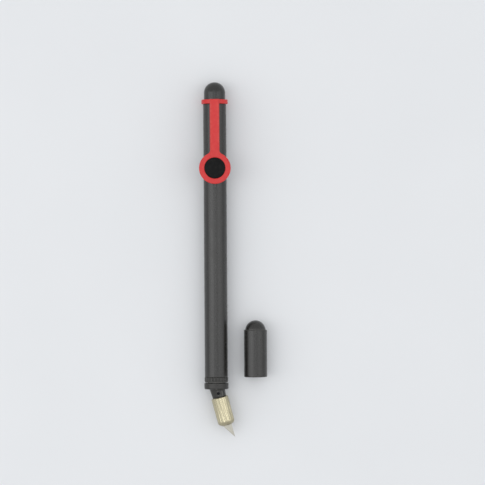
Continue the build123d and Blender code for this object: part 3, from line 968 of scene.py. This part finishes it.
class KNIFE_OT_blade_cap(bpy.types.Operator):
    """Builds the blade cap: a sleeve and the domed plug that closes it"""
    bl_idname = "knife.blade_cap"
    bl_label = "Blade cap"

    def execute(self, context):
        sizes = context.scene.knife_sizes
        low, high = measure("cap_sleeve", CAP)
        plug_low, plug_high = measure("cap_plug", CAP)
        bore = MOUNTS["cap_mouth"]["dims"]["r_mm"] * MM
        seat = high.x - sizes.cap_wall_seat
        edge = sizes.moulded_edge
        outline = [
            (bore, low.z, edge), (high.x, low.z, edge), (high.x, high.z, edge),
            (seat, high.z), (seat, plug_low.z), (bore, plug_low.z),
        ]
        black = shared_black()
        add_piece("cap_tube", turned("cap_tube", outline), CAP, "blade_cap", "cap_sleeve", black)
        dome_r, skirt = plug_high.x, seat - sizes.cap_skirt_wall
        rise = plug_high.z - high.z
        outline = arch(dome_r, rise, high.z, 1)
        outline += [(seat, high.z), (seat, plug_low.z), (skirt, plug_low.z), (skirt, high.z + rise / 3),
                    (0, high.z + rise / 3)]
        add_piece("cap_end", turned("cap_end", outline), CAP, "blade_cap", "cap_plug", black)
        return {"FINISHED"}


class KNIFE_OT_inner_parts(bpy.types.Operator):
    """Gives the CAD pieces inside the knife their finishes"""
    bl_idname = "knife.inner_parts"
    bl_label = "Inner parts"

    def execute(self, context):
        colours = context.scene.knife_colours
        brass, steel = colours.brass, colours.steel
        finishes = {
            turned_metal("brass_turned", brass, 0.1 * MM, 0.2, BARREL): ("rear_bush",),
            turned_metal("brass_turned_leaning", brass, 0.1 * MM, 0.2, CHUCK): ("collet", "clamp_ring"),
            turned_metal("steel_ground", steel, 0.06 * MM, 0.15, BARREL, 0.15):
                ("swivel_shaft", "shaft_washer"),
            turned_metal("steel_spring_stamped", colours.spring, 0.09 * MM, 0.3, BARREL): ("retaining_clip",),
            machined_nylon("nylon_natural_cut", colours.nylon, BARREL): ("thrust_washer",),
            spark_textured_abs("acetal_black_cut", colours.ring_black, colours.black_worn, BARREL):
                ("front_bush", "brake_washer"),
        }
        for material, nodes in finishes.items():
            for node in nodes:
                mesh = frame["nodes"][node].data
                mesh.materials.clear()
                mesh.materials.append(material)
        return {"FINISHED"}


# wide softboxes on each side and above, and two thin strips that draw lines along the round pieces:
# name, place from the knife's middle, width and length in metres, watts
LAMPS = (
    ("softbox_left", (-0.85, 0.0, 0.85), (0.6, 1.2), 2.6),
    ("softbox_right", (0.85, 0.05, 0.85), (0.6, 1.2), 1.5),
    ("softbox_top", (-0.1, 0.25, 1.9), (0.9, 1.2), 1.6),
    ("strip_left", (-0.5, 0.0, 1.1), (0.04, 1.2), 0.6),
    ("strip_right", (0.46, 0.0, 1.1), (0.04, 1.2), 0.4),
)


class KNIFE_OT_stage(bpy.types.Operator):
    """Builds the pale floor, the soft studio lights and the camera above the knife"""
    bl_idname = "knife.stage"
    bl_label = "Stage"

    def execute(self, context):
        colours = context.scene.knife_colours
        context.scene.view_settings.view_transform = "Standard"
        self.floor(colours)
        self.world()
        low, high = CAD_KNIFE
        middle = (low + high) / 2
        for lamp in LAMPS:
            self.softbox(middle, *lamp)
        self.camera(high.y)
        return {"FINISHED"}

    def floor(self, colours):
        """A floor that the clip's collar and the disc both rest on, so it tilts very slightly."""
        collar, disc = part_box("clip_collar"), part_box("swivel_head")
        collar_y, disc_y = (collar[0].y + collar[1].y) / 2, bend.y
        slope = (disc[0].z - collar[0].z) / (disc_y - collar_y)
        reach, cells = 3.0, 24
        bm = bmesh.new()
        bmesh.ops.create_grid(bm, x_segments=cells, y_segments=cells, size=reach)
        for vertex in bm.verts:
            vertex.co.z = collar[0].z + slope * (vertex.co.y - collar_y)
        board = linked("floor", finished("floor", bm))
        board.data.materials.append(painted_board("board_painted_matt", colours.floor))

    def world(self):
        world = bpy.data.worlds.new("studio")
        world.use_nodes = True
        tree = world.node_tree
        tree.nodes.clear()
        glow = add(tree, "Background", None, {"Color": linear("#f2f4f7"), "Strength": 0.92})
        add(tree, "OutputWorld", None, {"Surface": glow["Background"]})
        bpy.context.scene.world = world

    def softbox(self, target, name, offset, size, power):
        lamp = bpy.data.lights.new(name, "AREA")
        lamp.shape, lamp.size, lamp.size_y, lamp.energy = "RECTANGLE", size[0], size[1], power
        lamp_object = linked(name, lamp)
        lamp_object.location = target + Vector(offset)
        lamp_object.rotation_euler = Vector(offset).to_track_quat("Z", "Y").to_euler()

    def camera(self, tail):
        """Straight above, with a long lens, so that the knife is seen almost without perspective."""
        lens = bpy.data.cameras.new("camera")
        lens.lens, lens.sensor_width = 200.0, 36.0
        field = 211 * MM  # width of what the camera sees
        aside, along = 11.75 * MM, 69.8 * MM  # picture's middle, from the barrel's axis and from the tail
        roll = radians(0.38)
        viewer = linked("camera", lens)
        viewer.location = (aside, tail - along, field * lens.lens / lens.sensor_width)
        viewer.rotation_euler = (0, 0, -roll)
        bpy.context.scene.camera = viewer


CAD_KNIFE = (
    Vector(map(min, zip(*(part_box(node)[0] for node in frame["nodes"])))),
    Vector(map(max, zip(*(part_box(node)[1] for node in frame["nodes"])))),
)

PIECES = (
    KNIFE_OT_barrel, KNIFE_OT_tail_plug, KNIFE_OT_pocket_clip, KNIFE_OT_clip_badge, KNIFE_OT_lock_ring,
    KNIFE_OT_swivel_head, KNIFE_OT_neck_screw, KNIFE_OT_chuck_nut, KNIFE_OT_blade, KNIFE_OT_blade_cap,
    KNIFE_OT_inner_parts, KNIFE_OT_stage,
)


class KNIFE_PT_pieces(bpy.types.Panel):
    """Lists the knife's operators"""
    bl_idname = "KNIFE_PT_pieces"
    bl_label = "Craft knife"
    bl_space_type = "VIEW_3D"
    bl_region_type = "UI"
    bl_category = "Craft knife"

    def draw(self, context):
        for piece in PIECES:
            self.layout.operator(piece.bl_idname)
        for group in (context.scene.knife_sizes, context.scene.knife_colours):
            box = self.layout.box()
            for name in group.bl_rna.properties.keys():
                if name not in {"rna_type", "name"}:
                    box.prop(group, name)


CLASSES = (KnifeSizes, KnifeColours, *PIECES, KNIFE_PT_pieces)


def register():
    for item in CLASSES:
        bpy.utils.register_class(item)
    bpy.types.Scene.knife_sizes = PointerProperty(type=KnifeSizes)
    bpy.types.Scene.knife_colours = PointerProperty(type=KnifeColours)


def unregister():
    del bpy.types.Scene.knife_colours
    del bpy.types.Scene.knife_sizes
    for item in reversed(CLASSES):
        bpy.utils.unregister_class(item)


def main():
    register()
    for piece in PIECES:
        group, name = piece.bl_idname.split(".")
        getattr(getattr(bpy.ops, group), name)()


if __name__ == "__main__":
    main()
